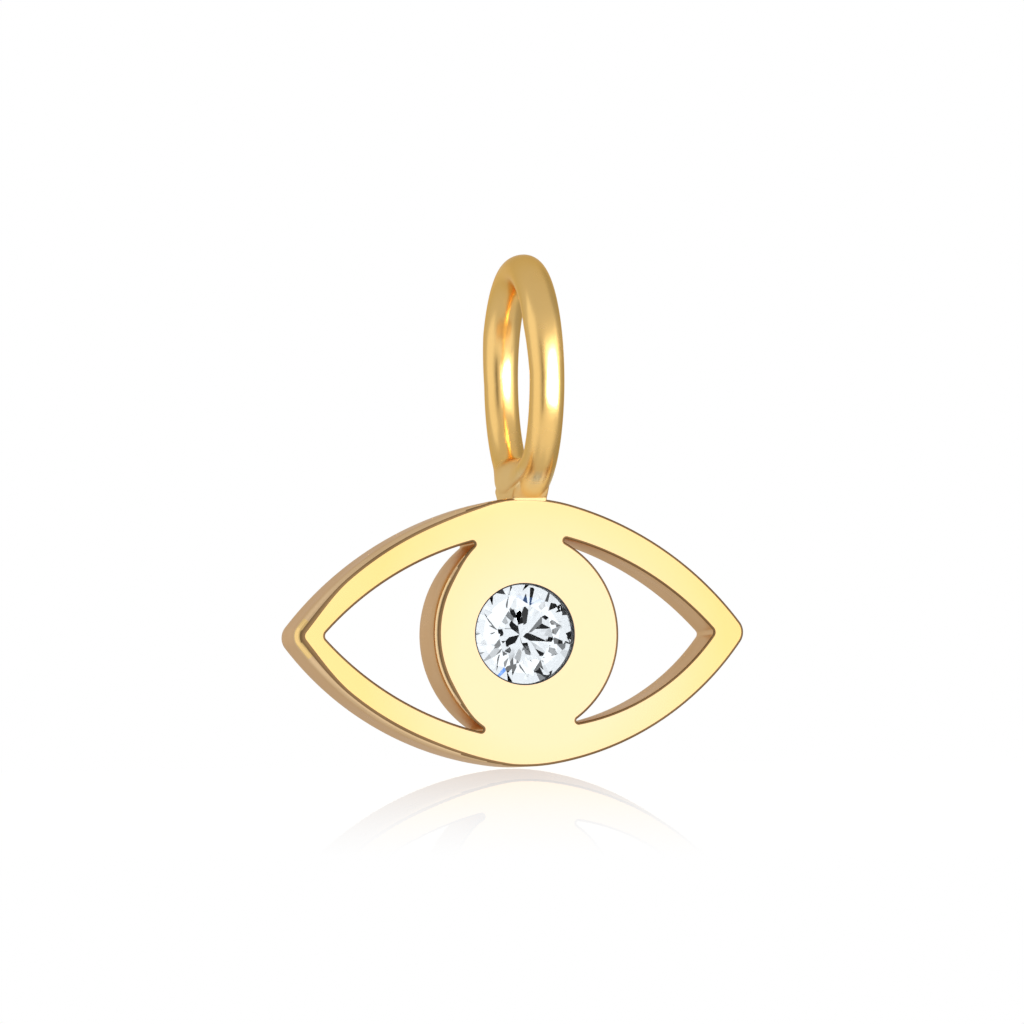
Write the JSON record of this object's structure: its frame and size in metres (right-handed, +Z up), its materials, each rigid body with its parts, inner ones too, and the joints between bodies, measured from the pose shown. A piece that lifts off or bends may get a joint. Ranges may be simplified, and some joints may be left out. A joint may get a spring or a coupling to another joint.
{
  "type": "evil eye pendant",
  "caption": "Flat almond-shaped eye pendant in gold-coloured metal, pierced beside its round iris, with a flush-set clear brilliant and a soldered ring bail.",
  "frame": {"origin": "inside top of the bail ring, where a chain bears on the wire", "axes": "+Z up, along the pendant's height; -Y the way the front face and the stone's table look; X along the eye's width"},
  "size_m": [0.0113, 0.0062, 0.0126],
  "materials": {
    "gold": "polished gold plating",
    "clear_stone": "polished facets"
  },
  "bodies": {
    "root": {"eye_plate_with_bail": "gold", "stone": "clear_stone"}
  },
  "joints": []
}
